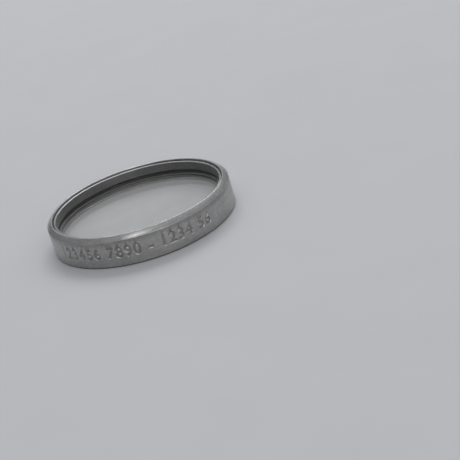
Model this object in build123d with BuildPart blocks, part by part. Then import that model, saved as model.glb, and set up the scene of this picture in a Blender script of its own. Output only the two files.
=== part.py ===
from build123d import *

import os

# Slip-in haze filter for a small lens: a turned ring, a glass disc and the ring that holds it. Millimetres.
# The rear face lies on Z = 0 and the optical axis is Z. The disc drops in from the front, onto the rear
# lip, and the thin retaining ring is pressed in on top of it, until it stands just below the front edge.

# The mount ring
ring_diameter = 27.0
rim_wall = 0.9  # from the outside to the bore that takes the glass
lip_reach = 0.85  # how far the rear lip stands in from that bore, under the glass
lip_thickness = 0.9
front_bevel_height = 0.6  # the wide sloping face that shows as the bright rim
front_bevel_crown = 0.03  # how far that face bulges at its middle
front_land = 0.12  # the flat that is left between that slope and the bore's edge break
bore_edge_break = 0.1
rear_edge_break = 0.2
lip_edge_break = 0.1

# The glass
glass_thickness = 2.0
glass_clearance = 0.1  # on the radius, in the bore
glass_bevel = 0.15

# The retaining ring
retainer_height = 1.35
retainer_wall = 0.43
retainer_clearance = 0.04  # on the radius, in the bore
retainer_front_round = 0.12  # its front edges are rounded, where a finger would meet them
retainer_rear_break = 0.1
front_step = 0.25  # from the retaining ring's front face out to the mount ring's front edge

# Worked out from the sizes above
rim_radius = ring_diameter / 2
bore_radius = rim_radius - rim_wall
aperture_radius = bore_radius - lip_reach
glass_radius = bore_radius - glass_clearance
glass_seat = lip_thickness
glass_front = glass_seat + glass_thickness
retainer_front = glass_front + retainer_height
ring_height = retainer_front + front_step

os.makedirs("parts", exist_ok=True)


def finish_piece(part, name):
    """Labels a finished piece and writes it under its own name."""
    part.label = name
    export_step(part, f"parts/{name}.step")


# The mount ring is turned from one piece of tube: rear lip, bore, front land and crowned front bevel.
with BuildPart() as mount_ring:
    with BuildSketch(Plane.XZ):
        with BuildLine():
            slope_foot = (rim_radius, ring_height - front_bevel_height)
            slope_head = (bore_radius + bore_edge_break + front_land, ring_height)
            Polyline(
                slope_head,
                (bore_radius + bore_edge_break, ring_height),
                (bore_radius, ring_height - bore_edge_break),
                (bore_radius, glass_seat),
                (aperture_radius + lip_edge_break, glass_seat),
                (aperture_radius, glass_seat - lip_edge_break),
                (aperture_radius, lip_edge_break),
                (aperture_radius + lip_edge_break, 0),
                (rim_radius - rear_edge_break, 0),
                (rim_radius, rear_edge_break),
                slope_foot,
            )
            SagittaArc(slope_foot, slope_head, -front_bevel_crown)
        make_face()
    revolve(axis=Axis.Z)
finish_piece(mount_ring.part, "mount_ring")


# The glass is a plain disc with both edges bevelled, and it rests on the lip.
with BuildPart() as filter_glass:
    with BuildSketch(Plane.XY.offset(glass_seat)):
        Circle(glass_radius)
    extrude(amount=glass_thickness)
    chamfer(filter_glass.edges().filter_by(GeomType.CIRCLE), glass_bevel)
finish_piece(filter_glass.part, "filter_glass")


# The retaining ring is a thin turned hoop that stands on the glass, rounded in front and broken behind.
with BuildPart() as retaining_ring:
    with BuildSketch(Plane.XY.offset(glass_front)):
        Circle(bore_radius - retainer_clearance)
        Circle(bore_radius - retainer_clearance - retainer_wall, mode=Mode.SUBTRACT)
    extrude(amount=retainer_height)
    hoop_edges = retaining_ring.edges().filter_by(GeomType.CIRCLE).group_by(Axis.Z)
    chamfer(hoop_edges[0], retainer_rear_break)
    fillet(hoop_edges[-1], retainer_front_round)
finish_piece(retaining_ring.part, "retaining_ring")
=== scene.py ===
"""The looks of a slip-in haze filter: a turned and anodised mount ring, a clear glass disc, and the thin
retaining ring that is pressed in on top of it. Metres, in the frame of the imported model.
"""

import math

import bpy
from mathutils import Matrix, Vector


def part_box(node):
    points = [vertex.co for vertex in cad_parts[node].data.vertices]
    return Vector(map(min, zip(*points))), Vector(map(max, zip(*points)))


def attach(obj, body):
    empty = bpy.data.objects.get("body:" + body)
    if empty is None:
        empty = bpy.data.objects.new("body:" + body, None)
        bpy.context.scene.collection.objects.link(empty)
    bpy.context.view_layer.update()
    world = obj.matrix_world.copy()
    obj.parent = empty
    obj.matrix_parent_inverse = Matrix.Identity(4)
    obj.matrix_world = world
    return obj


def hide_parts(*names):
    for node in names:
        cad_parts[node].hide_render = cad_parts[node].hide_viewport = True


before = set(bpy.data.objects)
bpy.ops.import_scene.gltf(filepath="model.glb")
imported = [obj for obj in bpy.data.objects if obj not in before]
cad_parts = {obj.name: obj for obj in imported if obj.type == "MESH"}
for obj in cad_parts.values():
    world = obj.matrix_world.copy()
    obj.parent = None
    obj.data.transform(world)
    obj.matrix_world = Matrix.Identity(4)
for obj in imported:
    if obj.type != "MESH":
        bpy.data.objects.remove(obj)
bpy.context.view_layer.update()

MM = 0.001

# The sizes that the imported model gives
ring_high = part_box("mount_ring")[1]
glass_low, glass_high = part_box("filter_glass")
hoop_low, hoop_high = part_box("retaining_ring")
RIM_RADIUS = ring_high.x
RING_HEIGHT = ring_high.z
GLASS_RADIUS = glass_high.x
HOOP_RADIUS = hoop_high.x

# The rest of the turned sections, as drawn for the model
RIM_WALL = 0.9 * MM
LIP_REACH = 0.85 * MM
FRONT_BEVEL_HEIGHT = 0.6 * MM
FRONT_BEVEL_CROWN = 0.03 * MM
FRONT_LAND = 0.12 * MM
BORE_EDGE_BREAK = 0.1 * MM
REAR_EDGE_BREAK = 0.2 * MM
LIP_EDGE_BREAK = 0.1 * MM
GLASS_BEVEL = 0.15 * MM
HOOP_WALL = 0.43 * MM
HOOP_FRONT_ROUND = 0.12 * MM
HOOP_REAR_BREAK = 0.1 * MM
BORE_RADIUS = RIM_RADIUS - RIM_WALL
APERTURE_RADIUS = BORE_RADIUS - LIP_REACH

# Tumbling before the anodising leaves each turned corner this round
EDGE_RADIUS = 0.035 * MM
ARC_STEPS = 3
EDGE_MARGIN = 0.03 * MM  # a row of points this far from each rounded corner keeps the flats flat
CROWN_STEPS = 5
ROUND_SEGMENTS = 240  # round a piece that has no marks
GLASS_LIFT = 0.004 * MM  # the air between the glass and the lip that it lies on

# How much painted shade or other darkening, mattness or bare wear each place gets, from 0 to 1
# Painted shade: the seam between the hoop and the bore takes the dark colour this strongly, for the shade that
# falls in it
SEAM_SHADE = 0.7
# How far the cut marks are darkened towards their bottoms
MARK_DARKENING = 0.38
# Painted shade: a dark line laid on the wall just under the bevel's foot
WALL_TOP_SHADE = 0.35
WALL_TOP_BAND = 0.1 * MM  # how far below the bevel's foot that painted dark line starts
# Painted shade: the rear edge break is darkened for the floor's contact shadow that it mirrors
REAR_EDGE_SHADE = 0.6
# Painted shade: the lip's inner wall takes the dark colour this strongly
LIP_SHADE = 0.3
LEDGE_MATTNESS = 0.7
RIM_EDGE_WEAR = 0.6
HOOP_EDGE_WEAR = 0.4

# The engraved numbers
MARKS = "123456 7890 - 1234 56"
MARK_SIZE = 2.25  # millimetres, the type's own size
MARK_SPACING = 1.16  # of the type's own distance between figures
MARK_MIDDLE = 2.1 * MM  # above the rear face
MARK_BAND = 1.9 * MM
MARK_STEP = 0.042 * MM
MARK_DEPTH = 0.12 * MM
MARK_SLOPE = 0.08  # millimetres, the width of a groove's sloping side
MARK_START, MARK_END = math.radians(207), math.radians(316)

# The photograph's camera, found from the ring's outline in it
PICTURE_SIDE = 460
FOCAL_PIXELS = 1500
RADIUS_PIXELS = 94.308  # the front edge's radius in the picture
FRONT_CENTRE_PIXEL = (136.391, 196.431)
CAMERA_ELEVATION = math.radians(22.47)
CAMERA_ROLL = math.radians(-16.61)
SENSOR_WIDTH = 36.0

# The world's strength: at the horizon, where it is least, and what it gains in each direction
SKY_LEVEL = 0.27
SKY_RISE = (0.1, 0.06, 0.45)


def add(tree, kind, inputs=None, **settings):
    """Adds one node with its settings. An input is a plain value, an output, or a node that stands for its
    first output."""
    made = tree.nodes.new(kind)
    for name, value in settings.items():
        setattr(made, name, value)
    for socket, value in (inputs or {}).items():
        if isinstance(value, bpy.types.Node):
            value = value.outputs[0]
        if isinstance(value, bpy.types.NodeSocket):
            tree.links.new(value, made.inputs[socket])
        else:
            made.inputs[socket].default_value = value
    return made


def linear(code):
    """An sRGB hex colour as linear red, green, blue and a full alpha."""
    parts = [int(code[i:i + 2], 16) / 255 for i in (1, 3, 5)]
    return [p / 12.92 if p <= 0.04045 else ((p + 0.055) / 1.055) ** 2.4 for p in parts] + [1.0]


# Materials

def new_material(name):
    """An empty material: its node tree and its output node."""
    material = bpy.data.materials.new(name)
    material.use_nodes = True
    material.node_tree.nodes.clear()
    return material, material.node_tree, add(material.node_tree, "ShaderNodeOutputMaterial")


def remap(tree, value, low, high, to_low, to_high):
    """Takes a value from one range to another, and holds it there."""
    return add(
        tree,
        "ShaderNodeMapRange",
        {"Value": value, "From Min": low, "From Max": high, "To Min": to_low, "To Max": to_high},
    )


def blend(tree, factor, first, second):
    """One colour laid over another by a factor."""
    return add(tree, "ShaderNodeMix", {"Factor": factor, 6: first, 7: second}, data_type="RGBA").outputs[2]


def attribute(tree, name):
    """A value that the piece's own points hold."""
    return add(tree, "ShaderNodeAttribute", attribute_name=name).outputs["Fac"]


def turned_coordinates(tree, along, across):
    """Coordinates for marks that a lathe leaves: long round the axis, and fine along the section."""
    place = add(tree, "ShaderNodeTexCoord").outputs["Object"]
    parts = add(tree, "ShaderNodeSeparateXYZ", {0: place})
    flat = add(tree, "ShaderNodeCombineXYZ", {"X": parts.outputs["X"], "Y": parts.outputs["Y"]})
    reach = add(tree, "ShaderNodeVectorMath", {0: flat}, operation="LENGTH").outputs["Value"]
    level = add(tree, "ShaderNodeMath", {0: parts.outputs["Z"], 1: reach}, operation="SUBTRACT")
    round_axis = add(
        tree, "ShaderNodeCombineXYZ", {"X": parts.outputs["X"], "Y": parts.outputs["Y"], "Z": level}
    )
    return add(tree, "ShaderNodeMapping", {"Vector": round_axis, "Scale": (1 / along, 1 / along, 1 / across)})


def handling_scratches(tree, patch, length, width):
    """Thin straight scratches, in a direction of its own for each patch of the surface: 1 in a scratch."""
    place = add(tree, "ShaderNodeTexCoord").outputs["Object"]
    patches = add(tree, "ShaderNodeTexVoronoi", {"Vector": place, "Scale": 1 / patch})
    turns = add(
        tree, "ShaderNodeVectorMath", {0: patches.outputs["Color"], "Scale": 2 * math.pi}, operation="SCALE"
    )
    laid = add(
        tree, "ShaderNodeVectorRotate", {"Vector": place, "Rotation": turns}, rotation_type="EULER_XYZ"
    )
    drawn = add(tree, "ShaderNodeMapping", {"Vector": laid, "Scale": (1 / length, 1 / width, 1 / length)})
    streaks = add(tree, "ShaderNodeTexNoise", {"Vector": drawn, "Scale": 1.0, "Detail": 1.0})
    return remap(tree, streaks, 0.68, 0.74, 0.0, 1.0)


def combine(tree, operation, first, second):
    """Two values through one sum."""
    return add(tree, "ShaderNodeMath", {0: first, 1: second}, operation=operation)


def anodised_aluminium(name, colour, front_colour, darkening_colour, roughness, bright_above):
    """Turned, bead-tumbled and clear-anodised aluminium. It is satin, with faint rings left by the tool's
    feed, a fine grain from the beads, and bright bare metal where edges rub; the same bright colour is laid on
    as painted light where a piece's points ask for it. A darker colour goes where the points ask for it, as
    painted shade or a dark finish, and the cut marks darken too. The front, above a height, is cut again after
    the beads, and is smoother and a little darker. Handling leaves a few scratches, drawn 0.05 mm wide,
    coarser than the real ones, which would not show."""
    material, tree, output = new_material(name)
    feed = turned_coordinates(tree, 9 * MM, 0.11 * MM)
    bands = turned_coordinates(tree, 14 * MM, 0.55 * MM)
    place = add(tree, "ShaderNodeTexCoord").outputs["Object"]
    fine = add(tree, "ShaderNodeTexNoise", {"Vector": feed, "Scale": 1.0, "Detail": 3.0})
    broad = add(tree, "ShaderNodeTexNoise", {"Vector": bands, "Scale": 1.0, "Detail": 2.0})
    grain = add(tree, "ShaderNodeTexNoise", {"Vector": place, "Scale": 1 / (0.3 * MM), "Detail": 3.0})
    blotches = add(tree, "ShaderNodeTexNoise", {"Vector": place, "Scale": 1 / (1.6 * MM), "Detail": 4.0})
    scratches = handling_scratches(tree, 2.6 * MM, 1.3 * MM, 0.05 * MM)
    front = remap(tree, attribute(tree, "height"), bright_above, bright_above + 0.03 * MM, 0.0, 1.0)

    bare = combine(tree, "MULTIPLY", attribute(tree, "bare"), remap(tree, blotches, 0.35, 0.6, 0.35, 1.0))
    worn_and_brightened = combine(tree, "MAXIMUM", bare, scratches)
    # The cut marks take the dark colour towards their bottoms
    cut = remap(tree, attribute(tree, "cut"), 0.3, 0.9, 0.0, MARK_DARKENING)
    # The dark colour: painted shade in the seams, on the rear edge, the lip and under the bevel's foot, the
    # darkened marks, and the hoop's dark inner finish
    darkening = combine(tree, "MAXIMUM", cut, attribute(tree, "dirt"))
    cleaned = blend(tree, front, linear(colour), linear(front_colour))
    # The bare-metal colour: real wear on rubbed edges and scratches, and painted brightening on the ledge
    # under the glass
    tinted = blend(tree, worn_and_brightened, cleaned, linear("#C8C9CB"))
    darkened = blend(tree, darkening, tinted, linear(darkening_colour))
    rings = remap(tree, broad, 0.3, 0.7, 0.94, 1.05)
    beaded = remap(tree, grain, 0.3, 0.7, 0.87, 1.13)
    stained = remap(tree, blotches, 0.3, 0.7, 0.93, 1.06)
    tone = combine(tree, "MULTIPLY", combine(tree, "MULTIPLY", rings, beaded), stained)
    shaded = add(tree, "ShaderNodeVectorMath", {0: darkened, "Scale": tone}, operation="SCALE")

    lowered = combine(tree, "SUBTRACT", combine(tree, "ADD", fine, grain), scratches)
    bumped = add(tree, "ShaderNodeBump", {"Height": lowered, "Distance": 0.004 * MM, "Strength": 0.8})
    satin = remap(tree, fine, 0.3, 0.7, roughness - 0.05, roughness + 0.06)
    smoother = combine(tree, "SUBTRACT", satin, combine(tree, "MULTIPLY", front, 0.1))
    rough = combine(tree, "ADD", smoother, combine(tree, "MULTIPLY", darkening, 0.12))
    surface = add(
        tree,
        "ShaderNodeBsdfPrincipled",
        {
            "Base Color": shaded,
            "Metallic": remap(tree, attribute(tree, "matt"), 0.0, 1.0, 1.0, 0.4),
            "Roughness": rough,
            "Anisotropic": 0.4,
            "Anisotropic Rotation": 0.25,
            "Tangent": add(tree, "ShaderNodeTangent", direction_type="RADIAL", axis="Z"),
            "Normal": bumped,
        },
    )
    tree.links.new(surface.outputs[0], output.inputs["Surface"])
    return material


def optical_glass():
    """Polished crown glass, nearly clear, under the thin uneven film that handling and age leave on it. Lamps
    shine through it, less what its two faces send back."""
    material, tree, output = new_material("optical_glass")
    place = add(tree, "ShaderNodeTexCoord").outputs["Object"]
    film = add(
        tree,
        "ShaderNodeTexNoise",
        {"Vector": place, "Scale": 1 / (4.5 * MM), "Detail": 4.0, "Distortion": 0.6},
    )
    clouded = remap(tree, film, 0.35, 0.65, 0.0, 1.0)
    surface = add(
        tree,
        "ShaderNodeBsdfPrincipled",
        {
            "Base Color": blend(tree, clouded, linear("#F9F9F8"), linear("#F1F1F0")),
            "Roughness": remap(tree, film, 0.35, 0.65, 0.0, 0.02),
            "IOR": 1.52,
            "Transmission Weight": 1.0,
        },
    )
    path = add(tree, "ShaderNodeLightPath").outputs
    lit = combine(tree, "MAXIMUM", path["Is Shadow Ray"], path["Is Diffuse Ray"])
    clear = add(tree, "ShaderNodeBsdfTransparent", {"Color": linear("#F7F7F6")})
    mixed = add(tree, "ShaderNodeMixShader", {0: lit, 1: surface, 2: clear})
    tree.links.new(mixed.outputs[0], output.inputs["Surface"])
    return material


def blackened_edge():
    """The disc's ground rim, inked black so that it throws no stray light."""
    material, tree, output = new_material("blackened_ground_glass")
    place = add(tree, "ShaderNodeTexCoord").outputs["Object"]
    grain = add(tree, "ShaderNodeTexNoise", {"Vector": place, "Scale": 1 / (0.08 * MM), "Detail": 2.0})
    surface = add(
        tree,
        "ShaderNodeBsdfPrincipled",
        {"Base Color": linear("#171718"), "Roughness": remap(tree, grain, 0.0, 1.0, 0.55, 0.8)},
    )
    tree.links.new(surface.outputs[0], output.inputs["Surface"])
    return material


def pale_board():
    """The floor: plain matte board."""
    material, tree, output = new_material("pale_board")
    place = add(tree, "ShaderNodeTexCoord").outputs["Object"]
    mottle = add(tree, "ShaderNodeTexNoise", {"Vector": place, "Scale": 1 / (12 * MM), "Detail": 3.0})
    tone = remap(tree, mottle, 0.0, 1.0, 0.97, 1.03)
    colour = add(
        tree, "ShaderNodeVectorMath", {0: linear("#B6B7BA")[:3], "Scale": tone}, operation="SCALE"
    )
    surface = add(tree, "ShaderNodeBsdfPrincipled", {"Base Color": colour, "Roughness": 0.9})
    tree.links.new(surface.outputs[0], output.inputs["Surface"])
    return material


# Turned sections

def corner_arc(corner, before, after, radius):
    """The points of one rounded corner, and how far along each side the arc reaches."""
    opening = before.angle(after)
    reach = min(radius / math.tan(opening / 2), 0.48 * before.length, 0.48 * after.length)
    radius = reach * math.tan(opening / 2)
    start, end = corner + before.normalized() * reach, corner + after.normalized() * reach
    inward = (before.normalized() + after.normalized()).normalized()
    centre = corner + inward * (radius / math.sin(opening / 2))
    shares = [k / ARC_STEPS for k in range(ARC_STEPS + 1)]
    arms = [(start - centre).lerp(end - centre, share).normalized() * radius for share in shares]
    return start, [centre + arm for arm in arms], end, reach


def rounded_section(corners):
    """Points round a closed section. A corner is (reach, height, radius), and a radius of 0 leaves it as it
    is. A point is (reach, height, edge), and edge is 1 on the arcs. Each arc has a point beside both its
    ends."""
    points = []
    count = len(corners)
    for i, (*corner, radius) in enumerate(corners):
        here = Vector(corner)
        if not radius:
            points.append((*here, 0.0))
            continue
        before = Vector(corners[i - 1][:2]) - here
        after = Vector(corners[(i + 1) % count][:2]) - here
        start, arc, end, reach = corner_arc(here, before, after, radius)
        if before.length > 2 * (EDGE_MARGIN + reach):
            points.append((*(start + before.normalized() * EDGE_MARGIN), 0.0))
        points.extend((*point, 1.0) for point in arc)
        if after.length > 2 * (EDGE_MARGIN + reach):
            points.append((*(end + after.normalized() * EDGE_MARGIN), 0.0))
    return points


def crowned(foot, head, crown):
    """Plain corners along a shallow arc from foot to head, that bulges to its right."""
    foot, head = Vector(foot), Vector(head)
    side = Vector((head.y - foot.y, foot.x - head.x)).normalized()
    shares = [k / (CROWN_STEPS + 1) for k in range(1, CROWN_STEPS + 1)]
    return [(*(foot.lerp(head, s) + side * (4 * crown * s * (1 - s))), 0.0) for s in shares]


def with_mark_rows(points):
    """Adds close rows of points up the outer wall, where the marks are cut."""
    low, high = MARK_MIDDLE - MARK_BAND / 2, MARK_MIDDLE + MARK_BAND / 2
    steps = round(MARK_BAND / MARK_STEP)
    rows = [(RIM_RADIUS, low + (high - low) * k / steps, 0.0) for k in range(steps + 1)]
    below = next(
        i for i, p in enumerate(points) if abs(p[0] - RIM_RADIUS) < 1e-7 and p[1] < low < points[i + 1][1]
    )
    return points[:below + 1] + rows + points[below + 1:]


def section_mesh(name, points, finish_at, closed=True):
    """A section as a mesh of edges. Its points hold their reach and height, and their finish, which a function
    of a point gives: how bare of its skin the metal is, with painted brightening counted in, how much darker
    colour it takes as painted shade or a dark finish, and how matt, each from 0 to 1."""
    mesh = bpy.data.meshes.new(name)
    links = [(i, i + 1) for i in range(len(points) - 1)]
    if closed:
        links.append((len(points) - 1, 0))
    mesh.from_pydata([(p[0], 0, p[1]) for p in points], links, [])
    rows = [(p[0], p[1], *finish_at(*p)) for p in points]
    for label, values in zip(("reach", "height", "bare", "dirt", "matt"), zip(*rows)):
        mesh.attributes.new(label, "FLOAT", "POINT").data.foreach_set("value", values)
    return mesh


def turned_tree():
    """Geometry nodes that sweep a section round the axis, cut marks in the outer wall and close the poles."""
    tree = bpy.data.node_groups.new("turned_piece", "GeometryNodeTree")
    wanted = (
        ("Section", "NodeSocketGeometry"),
        ("Plain segments", "NodeSocketInt"),
        ("Fine segments", "NodeSocketInt"),
        ("Fine start", "NodeSocketFloat"),
        ("Fine end", "NodeSocketFloat"),
        ("Marks", "NodeSocketString"),
        ("Mark size", "NodeSocketFloat"),
        ("Mark spacing", "NodeSocketFloat"),
        ("Mark middle", "NodeSocketFloat"),
        ("Mark depth", "NodeSocketFloat"),
        ("Mark slope", "NodeSocketFloat"),
        ("Wall radius", "NodeSocketFloat"),
        ("Material", "NodeSocketMaterial"),
        ("Rim material", "NodeSocketMaterial"),
        ("Rim from", "NodeSocketFloat"),
    )
    for name, kind in wanted:
        tree.interface.new_socket(name=name, in_out="INPUT", socket_type=kind)
    tree.interface.new_socket(name="Piece", in_out="OUTPUT", socket_type="NodeSocketGeometry")
    given = add(tree, "NodeGroupInput").outputs
    math_node = "ShaderNodeMath"

    index = add(tree, "GeometryNodeInputIndex")
    all_segments = add(
        tree, math_node, {0: given["Fine segments"], 1: given["Plain segments"]}, operation="ADD"
    )
    full_turn = add(tree, math_node, {0: given["Fine start"], 1: 2 * math.pi}, operation="ADD")
    fine_turn = add(
        tree,
        "ShaderNodeMapRange",
        {0: index, 1: 0.0, 2: given["Fine segments"], 3: given["Fine start"], 4: given["Fine end"]},
        clamp=False,
    )
    plain_turn = add(
        tree,
        "ShaderNodeMapRange",
        {0: index, 1: given["Fine segments"], 2: all_segments, 3: given["Fine end"], 4: full_turn},
        clamp=False,
    )
    is_fine = add(tree, math_node, {0: index, 1: given["Fine segments"]}, operation="LESS_THAN")
    turn = add(
        tree, "GeometryNodeSwitch", {0: is_fine, 1: plain_turn, 2: fine_turn}, input_type="FLOAT"
    )
    circle = add(tree, "GeometryNodeCurvePrimitiveCircle", {"Resolution": all_segments})
    path = add(tree, "GeometryNodeStoreNamedAttribute", {0: circle, "Name": "turn", "Value": turn})
    section = add(tree, "GeometryNodeMeshToCurve", {0: given["Section"]})
    swept = add(tree, "GeometryNodeCurveToMesh", {0: path, "Profile Curve": section})

    reach, height, angle = (
        add(tree, "GeometryNodeInputNamedAttribute", {0: name}) for name in ("reach", "height", "turn")
    )
    middle = add(tree, math_node, {0: given["Fine start"], 1: given["Fine end"]}, operation="ADD")
    half = add(tree, math_node, {0: middle, 1: 0.5}, operation="MULTIPLY")
    turned = add(tree, math_node, {0: angle, 1: half}, operation="SUBTRACT")
    along = add(tree, math_node, {0: turned, 1: given["Wall radius"]}, operation="MULTIPLY")
    above = add(tree, math_node, {0: height, 1: given["Mark middle"]}, operation="SUBTRACT")
    unrolled = add(tree, "ShaderNodeCombineXYZ", {"X": along, "Y": above})
    in_millimetres = add(
        tree, "ShaderNodeVectorMath", {0: unrolled, "Scale": 1 / MM}, operation="SCALE"
    )
    letters = add(
        tree,
        "GeometryNodeStringToCurves",
        {"String": given["Marks"], "Size": given["Mark size"], "Character Spacing": given["Mark spacing"]},
        align_x="CENTER",
        align_y="MIDDLE",
    )
    flat = add(tree, "GeometryNodeRealizeInstances", {0: add(tree, "GeometryNodeFillCurve", {0: letters})})
    near = add(tree, "GeometryNodeProximity", {0: flat, "Sample Position": in_millimetres})
    groove = add(
        tree,
        "ShaderNodeMapRange",
        {0: near.outputs["Distance"], 1: 0.0, 2: given["Mark slope"], 3: 1.0, 4: 0.0},
        interpolation_type="SMOOTHSTEP",
    )
    outer = add(tree, math_node, {0: given["Wall radius"], 1: 0.01 * MM}, operation="SUBTRACT")
    on_wall = add(tree, math_node, {0: reach, 1: outer}, operation="GREATER_THAN")
    cut = add(tree, math_node, {0: groove, 1: on_wall}, operation="MULTIPLY")
    depth = add(tree, math_node, {0: cut, 1: given["Mark depth"]}, operation="MULTIPLY")
    reach_left = add(tree, math_node, {0: reach, 1: depth}, operation="SUBTRACT")
    marked = add(tree, "GeometryNodeStoreNamedAttribute", {0: swept, "Name": "cut", "Value": cut})
    across = add(tree, math_node, {0: angle}, operation="COSINE")
    forward = add(tree, math_node, {0: angle}, operation="SINE")
    place = add(
        tree,
        "ShaderNodeCombineXYZ",
        {
            "X": add(tree, math_node, {0: reach_left, 1: across}, operation="MULTIPLY"),
            "Y": add(tree, math_node, {0: reach_left, 1: forward}, operation="MULTIPLY"),
            "Z": height,
        },
    )
    shaped = add(tree, "GeometryNodeSetPosition", {0: marked, "Position": place})
    outward = add(tree, "GeometryNodeFlipFaces", {0: shaped})
    closed = add(tree, "GeometryNodeMergeByDistance", {0: outward, "Distance": 0.0005 * MM})
    smooth = add(tree, "GeometryNodeSetShadeSmooth", {0: closed})
    whole = add(tree, "GeometryNodeRealizeInstances", {0: smooth})
    finished = add(tree, "GeometryNodeSetMaterial", {0: whole, "Material": given["Material"]})
    flattened = add(
        tree,
        "ShaderNodeVectorMath",
        {0: add(tree, "GeometryNodeInputPosition"), 1: (1, 1, 0)},
        operation="MULTIPLY",
    )
    face_reach = add(tree, "ShaderNodeVectorMath", {0: flattened}, operation="LENGTH")
    on_rim = add(
        tree, math_node, {0: face_reach.outputs["Value"], 1: given["Rim from"]}, operation="GREATER_THAN"
    )
    rimmed = add(
        tree,
        "GeometryNodeSetMaterial",
        {0: finished, "Selection": on_rim, "Material": given["Rim material"]},
    )
    add(tree, "NodeGroupOutput", {0: rimmed})
    return tree


def turned_piece(name, tree, section, node, slot, **values):
    """Makes one turned piece from its section, as a plain mesh that stands for a node of the model."""
    shape = bpy.data.objects.new(name + "_section", section)
    bpy.context.scene.collection.objects.link(shape)
    modifier = shape.modifiers.new("turning", "NODES")
    modifier.node_group = tree
    sockets = {s.name: s.identifier for s in tree.interface.items_tree if s.in_out == "INPUT"}
    for label, value in values.items():
        modifier[sockets[label.replace("_", " ").capitalize()]] = value
    graph = bpy.context.evaluated_depsgraph_get()
    mesh = bpy.data.meshes.new_from_object(shape.evaluated_get(graph), depsgraph=graph)
    mesh.name = name
    bpy.data.objects.remove(shape)
    piece = bpy.data.objects.new(name, mesh)
    bpy.context.scene.collection.objects.link(piece)
    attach(piece, "root")
    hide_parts(node)
    return piece


def make_mount_ring(tree, material):
    """The ring: rear lip, bore, front land and bevel, with plain numbers cut in its wall."""
    foot = (RIM_RADIUS, RING_HEIGHT - FRONT_BEVEL_HEIGHT)
    head = (BORE_RADIUS + BORE_EDGE_BREAK + FRONT_LAND, RING_HEIGHT)
    corners = [
        (APERTURE_RADIUS, LIP_EDGE_BREAK, EDGE_RADIUS),
        (APERTURE_RADIUS + LIP_EDGE_BREAK, 0, EDGE_RADIUS),
        (RIM_RADIUS - REAR_EDGE_BREAK, 0, EDGE_RADIUS),
        (RIM_RADIUS, REAR_EDGE_BREAK, EDGE_RADIUS),
        (*foot, EDGE_RADIUS),
        *crowned(foot, head, FRONT_BEVEL_CROWN),
        (*head, EDGE_RADIUS),
        (BORE_RADIUS + BORE_EDGE_BREAK, RING_HEIGHT, EDGE_RADIUS),
        (BORE_RADIUS, RING_HEIGHT - BORE_EDGE_BREAK, EDGE_RADIUS),
        (BORE_RADIUS, glass_low.z, EDGE_RADIUS),
        (APERTURE_RADIUS + LIP_EDGE_BREAK, glass_low.z, EDGE_RADIUS),
        (APERTURE_RADIUS, glass_low.z - LIP_EDGE_BREAK, EDGE_RADIUS),
    ]

    def finish_at(reach, height, edge):
        """Painted shade darkens the seam above the glass, the edge of the lip, a little of the lip's wall, and
        the rear edge, and lays a dark line on the wall under the bevel. Painted light brightens the ledge
        under the glass in the bare-metal colour."""
        near = EDGE_RADIUS / 2
        wall_top = foot[1] - WALL_TOP_BAND < height < foot[1] - EDGE_RADIUS
        # Painted shade: a dark line on the wall just under the bevel's foot
        if reach > RIM_RADIUS - EDGE_RADIUS / 10 and wall_top:
            return edge, WALL_TOP_SHADE, 0.0
        # Painted shade: the rear edge break takes the dark colour, for the contact shadow it mirrors
        if reach > RIM_RADIUS - REAR_EDGE_BREAK - near and height < REAR_EDGE_BREAK + near:
            return 0.0, REAR_EDGE_SHADE, REAR_EDGE_SHADE
        if reach > BORE_RADIUS + near:
            return RIM_EDGE_WEAR * edge, 0.0, 0.0
        # Painted shade: the bore above the glass, at the seam under the hoop, takes the dark colour
        if height > glass_low.z + EDGE_RADIUS:
            return edge, SEAM_SHADE, 1.0
        # Painted light: the ledge under the glass is brightened with the bare-metal colour
        if reach > APERTURE_RADIUS + LIP_EDGE_BREAK + near and height > LIP_EDGE_BREAK:
            return 1.0, 0.0, LEDGE_MATTNESS
        # Painted shade: a dark line at the lip's edge break, under the glass
        if height > glass_low.z - LIP_EDGE_BREAK - near:
            return 0.0, 1.0, 1.0
        # Painted shade on the lip's inner wall
        return 0.0, LIP_SHADE, LIP_SHADE

    points = with_mark_rows(rounded_section(corners))
    section = section_mesh("mount_ring_section", points, finish_at)
    return turned_piece(
        "mount_ring_turned",
        tree,
        section,
        "mount_ring",
        "mount_ring_aluminium",
        plain_segments=170,
        fine_segments=round((MARK_END - MARK_START) * RIM_RADIUS / MARK_STEP),
        fine_start=MARK_START,
        fine_end=MARK_END,
        marks=MARKS,
        mark_size=MARK_SIZE,
        mark_spacing=MARK_SPACING,
        mark_middle=MARK_MIDDLE,
        mark_depth=MARK_DEPTH,
        mark_slope=MARK_SLOPE,
        wall_radius=RIM_RADIUS,
        material=material,
        rim_material=material,
        rim_from=1.0,
    )


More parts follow.
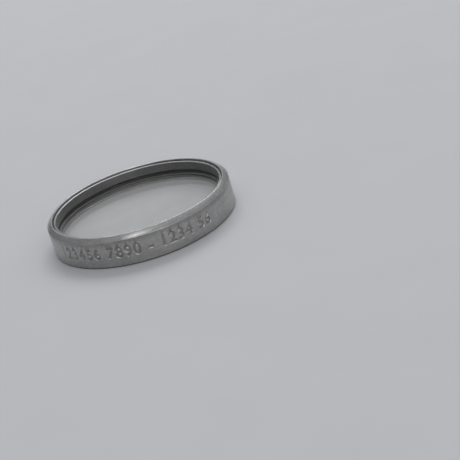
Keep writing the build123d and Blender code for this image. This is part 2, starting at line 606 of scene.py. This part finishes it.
def make_retaining_ring(tree, material):
    """The thin hoop that holds the glass down: rounded and bright in front, dull on its inner wall."""
    inner = HOOP_RADIUS - HOOP_WALL
    corners = [
        (inner, hoop_low.z + HOOP_REAR_BREAK, EDGE_RADIUS),
        (inner + HOOP_REAR_BREAK, hoop_low.z, EDGE_RADIUS),
        (HOOP_RADIUS - HOOP_REAR_BREAK, hoop_low.z, EDGE_RADIUS),
        (HOOP_RADIUS, hoop_low.z + HOOP_REAR_BREAK, EDGE_RADIUS),
        (HOOP_RADIUS, hoop_high.z, HOOP_FRONT_ROUND),
        (inner, hoop_high.z, HOOP_FRONT_ROUND),
    ]

    def finish_at(reach, height, edge):
        """The inner wall is dull against stray light, and painted shade darkens the seam round the outside."""
        if reach < inner + 0.005 * MM:
            return edge, 1.0, 1.0
        # Painted shade: the seam round the hoop's outside takes the dark colour
        return HOOP_EDGE_WEAR * edge, SEAM_SHADE * (reach > HOOP_RADIUS - 0.03 * MM), 0.0

    section = section_mesh("retaining_ring_section", rounded_section(corners), finish_at)
    return turned_piece(
        "retaining_ring_turned",
        tree,
        section,
        "retaining_ring",
        "retaining_ring_aluminium",
        plain_segments=ROUND_SEGMENTS,
        fine_segments=1,
        fine_start=0.0,
        fine_end=2 * math.pi / (ROUND_SEGMENTS + 1),
        marks="",
        material=material,
        rim_material=material,
        rim_from=1.0,
    )


def make_glass(tree, glass, edge):
    """The disc: two polished faces, two small bevels and a blackened rim."""
    bevelled = GLASS_RADIUS - GLASS_BEVEL
    underside = glass_low.z + GLASS_LIFT
    points = [
        (0, underside),
        (bevelled, underside),
        (GLASS_RADIUS, underside + GLASS_BEVEL),
        (GLASS_RADIUS, glass_high.z - GLASS_BEVEL),
        (bevelled, glass_high.z),
        (0, glass_high.z),
    ]
    clean = (0.0, 0.0, 0.0)
    section = section_mesh("filter_glass_section", points, lambda reach, height: clean, closed=False)
    piece = turned_piece(
        "filter_glass_disc",
        tree,
        section,
        "filter_glass",
        "haze_glass",
        plain_segments=ROUND_SEGMENTS,
        fine_segments=1,
        fine_start=0.0,
        fine_end=2 * math.pi / (ROUND_SEGMENTS + 1),
        marks="",
        material=glass,
        rim_material=edge,
        rim_from=bevelled,
    )
    piece.data.set_sharp_from_angle(angle=math.radians(20))
    return piece


# The studio

def make_floor():
    """A plain pale floor under the part."""
    reach = 2.0
    mesh = bpy.data.meshes.new("floor")
    corners = [(x * reach, y * reach, 0) for x, y in ((-1, -1), (1, -1), (1, 1), (-1, 1))]
    mesh.from_pydata(corners, [], [(0, 1, 2, 3)])
    floor = bpy.data.objects.new("floor", mesh)
    floor.data.materials.append(pale_board())
    bpy.context.scene.collection.objects.link(floor)


def make_camera():
    """The camera stands where the photograph's did, turned about its own axis as far as the ring leans."""
    right = Vector((1, 0, 0))
    up = Vector((0, math.sin(CAMERA_ELEVATION), math.cos(CAMERA_ELEVATION)))
    ahead = Vector((0, math.cos(CAMERA_ELEVATION), -math.sin(CAMERA_ELEVATION)))
    cos_roll, sin_roll = math.cos(CAMERA_ROLL), math.sin(CAMERA_ROLL)
    rolled_right = right * cos_roll + up * sin_roll
    rolled_up = up * cos_roll - right * sin_roll
    depth = FOCAL_PIXELS / RADIUS_PIXELS * RIM_RADIUS
    off_right = (FRONT_CENTRE_PIXEL[0] - PICTURE_SIDE / 2) / FOCAL_PIXELS * depth
    off_up = (PICTURE_SIDE / 2 - FRONT_CENTRE_PIXEL[1]) / FOCAL_PIXELS * depth
    front_centre = Vector((0, 0, RING_HEIGHT))
    camera = bpy.data.objects.new("camera", bpy.data.cameras.new("camera"))
    camera.data.sensor_width = SENSOR_WIDTH
    camera.data.lens = FOCAL_PIXELS * SENSOR_WIDTH / PICTURE_SIDE
    camera.data.clip_start, camera.data.clip_end = 0.01, 10.0
    place = Matrix((rolled_right, rolled_up, -ahead)).transposed().to_4x4()
    place.translation = front_centre - (rolled_right * off_right + rolled_up * off_up + ahead * depth)
    camera.matrix_world = place
    bpy.context.scene.collection.objects.link(camera)
    bpy.context.scene.camera = camera


def make_lamp(name, shape, direction, long_side, length, breadth, power):
    """A soft lamp a metre away that looks at the part from a direction, its length lying along another."""
    lamp = bpy.data.lights.new(name, "AREA")
    lamp.shape = shape
    lamp.size = length
    lamp.size_y = breadth
    lamp.energy = power
    away = Vector(direction).normalized()
    across = Vector(long_side)
    across = (across - away * across.dot(away)).normalized()
    place = Matrix((across, away.cross(across), away)).transposed().to_4x4()
    place.translation = away
    made = bpy.data.objects.new(name, lamp)
    made.matrix_world = place
    bpy.context.scene.collection.objects.link(made)


def make_light():
    """Plain soft light: a pale world that is brighter overhead and a little brighter at the right and behind,
    a long lamp overhead, a broad one behind, and a broad low fill in front."""
    world = bpy.data.worlds.new("studio")
    world.use_nodes = True
    tree = world.node_tree
    away = add(tree, "ShaderNodeTexCoord").outputs["Generated"]
    rise = add(tree, "ShaderNodeVectorMath", {0: away, 1: SKY_RISE}, operation="DOT_PRODUCT").outputs["Value"]
    background = tree.nodes["Background"]
    background.inputs["Color"].default_value = linear("#F9FAFD")
    strength = combine(tree, "MAXIMUM", combine(tree, "ADD", rise, SKY_LEVEL), SKY_LEVEL)
    tree.links.new(strength.outputs[0], background.inputs["Strength"])
    bpy.context.scene.world = world
    make_lamp("strip", "RECTANGLE", (-0.14, -0.32, 0.94), (0.45, 0.2, 0.2), 0.36, 0.16, 0.5)
    make_lamp("window", "RECTANGLE", (0.14, 0.68, 0.72), (1, -0.3, 0), 0.7, 0.5, 4.8)
    make_lamp("fill", "ELLIPSE", (0.22, -0.8, 0.5), (1, 0, 0), 0.8, 0.8, 1.9)


def build():
    """Makes every piece, then the floor, the light and the camera."""
    tree = turned_tree()
    bevel_foot = RING_HEIGHT - FRONT_BEVEL_HEIGHT
    hoop_front = hoop_high.z - HOOP_FRONT_ROUND
    make_mount_ring(
        tree,
        anodised_aluminium("satin_anodised_aluminium", "#AEADAB", "#999998", "#545352", 0.36, bevel_foot),
    )
    make_retaining_ring(
        tree,
        anodised_aluminium("fine_turned_aluminium", "#A4A4A3", "#8A8A89", "#6E6E6D", 0.32, hoop_front),
    )
    make_glass(tree, optical_glass(), blackened_edge())
    make_floor()
    make_light()
    make_camera()
    bpy.context.scene.view_settings.view_transform = "Standard"


build()
